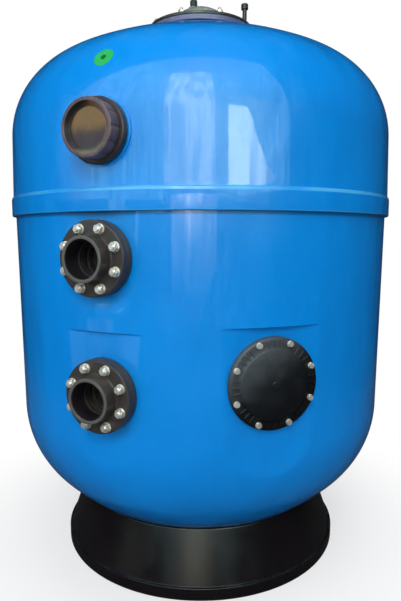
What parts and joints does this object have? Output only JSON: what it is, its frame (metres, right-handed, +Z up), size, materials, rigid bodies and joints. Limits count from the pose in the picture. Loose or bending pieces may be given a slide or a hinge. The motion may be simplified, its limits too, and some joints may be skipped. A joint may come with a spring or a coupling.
{
  "type": "pool sand filter",
  "caption": "Upright glass-fibre vessel on a black plinth, with a bolted top lid, a sight glass, flanged ports and a side manhole, which filters water through sand.",
  "frame": {"origin": "on the floor, under the vessel's axis", "axes": "+Z up, -Y the front, towards which the ports, sight glass and side manhole face, +X right"},
  "size_m": [1.4198, 1.4487, 2.082],
  "materials": {
    "gelcoat_blue": "glossy azure gelcoat over glass fibre",
    "plinth_black": "satin black moulded polyethylene",
    "laminate": "cured resin joint",
    "pvc_dark": "dark grey pressure PVC",
    "pvc_pipe": "grey pressure pipe",
    "collector_white": "off-white polypropylene",
    "stainless": "stainless steel fasteners",
    "seal_rubber": "black rubber sheet",
    "lid_clear": "clear acrylic, grey-green",
    "window_amber": "clear acrylic over the amber inside",
    "cover_black": "satin black moulded cover",
    "knob_black": "black moulded knob"
  },
  "bodies": {
    "vessel": {"base_plinth": "plinth_black", "collector_hub": "collector_white", "guide_stud": "stainless", "hub_foot": "pvc_pipe", "inlet_bolts": "stainless", "inlet_elbow": "pvc_pipe", "inlet_face_gasket": "seal_rubber", "inlet_inner_flange": "pvc_dark", "inlet_inner_gasket": "seal_rubber", "inlet_nuts": "stainless", "inlet_pipe": "pvc_pipe", "inlet_riser": "pvc_pipe", "inlet_socket_flange": "pvc_dark", "inlet_wall_flange": "pvc_dark", "inlet_wall_gasket": "seal_rubber", "inlet_washers": "stainless", "lateral_01": "collector_white", "lateral_02": "collector_white", "lateral_03": "collector_white", "lateral_04": "collector_white", "lateral_05": "collector_white", "lateral_06": "collector_white", "lateral_07": "collector_white", "lateral_08": "collector_white", "lid_bolts": "stainless", "lid_gasket": "seal_rubber", "lower_shell": "gelcoat_blue", "manhole_frame": "cover_black", "manhole_gasket": "seal_rubber", "outlet_bolts": "stainless", "outlet_drop_pipe": "pvc_pipe", "outlet_elbow": "pvc_pipe", "outlet_face_gasket": "seal_rubber", "outlet_inner_flange": "pvc_dark", "outlet_inner_gasket": "seal_rubber", "outlet_nuts": "stainless", "outlet_pipe": "pvc_pipe", "outlet_socket_flange": "pvc_dark", "outlet_wall_flange": "pvc_dark", "outlet_wall_gasket": "seal_rubber", "outlet_washers": "stainless", "shell_bond": "laminate", "sight_glass_back_nut": "pvc_dark", "sight_glass_body": "pvc_dark", "sight_glass_gasket": "seal_rubber", "sight_glass_inner_gasket": "seal_rubber", "top_diffuser": "collector_white", "upper_shell": "gelcoat_blue"},
    "lid": {"top_lid": "lid_clear", "lid_washers": "stainless", "lid_nuts": "stainless", "guide_stud_cap": "knob_black"},
    "bleed_carrier": {"bleed_seal": "seal_rubber"},
    "bleed_screw": {"bleed_knob": "knob_black"},
    "window": {"sight_window": "window_amber", "window_seal": "seal_rubber"},
    "window_ring": {"sight_glass_ring": "pvc_dark"},
    "side_cover": {"manhole_cover": "cover_black", "manhole_washers": "stainless", "manhole_cover_bolts": "stainless"}
  },
  "joints": [
    {"name": "lid_lift", "type": "slide", "parent": "vessel", "child": "lid", "axis": [0, 0, 1], "range_m": [0, 0.25]},
    {"name": "bleed_rise", "type": "slide", "parent": "lid", "child": "bleed_carrier", "axis": [0, 0, 1], "range_m": [0, 0.004]},
    {"name": "bleed_turn", "type": "hinge", "parent": "bleed_carrier", "child": "bleed_screw", "pos_m": [-0.026, 0, 2.06], "axis": [0, 0, 1], "range_deg": [0, 720]},
    {"name": "window_out", "type": "slide", "parent": "vessel", "child": "window", "axis": [-0.3939, -0.9191, 0], "range_m": [0, 0.012]},
    {"name": "ring_turn", "type": "hinge", "parent": "window", "child": "window_ring", "pos_m": [-0.29546, -0.68935, 1.47395], "axis": [-0.3939, -0.9191, 0], "range_deg": [0, 1080]},
    {"name": "side_cover_pull", "type": "slide", "parent": "vessel", "child": "side_cover", "axis": [0.3057, -0.9521, 0], "range_m": [0, 0.3]}
  ],
  "couplings": [
    {"joint": "bleed_rise", "follows": "bleed_turn", "m_per_rad": 0.00031831},
    {"joint": "window_out", "follows": "ring_turn", "m_per_rad": 0.00063662}
  ]
}
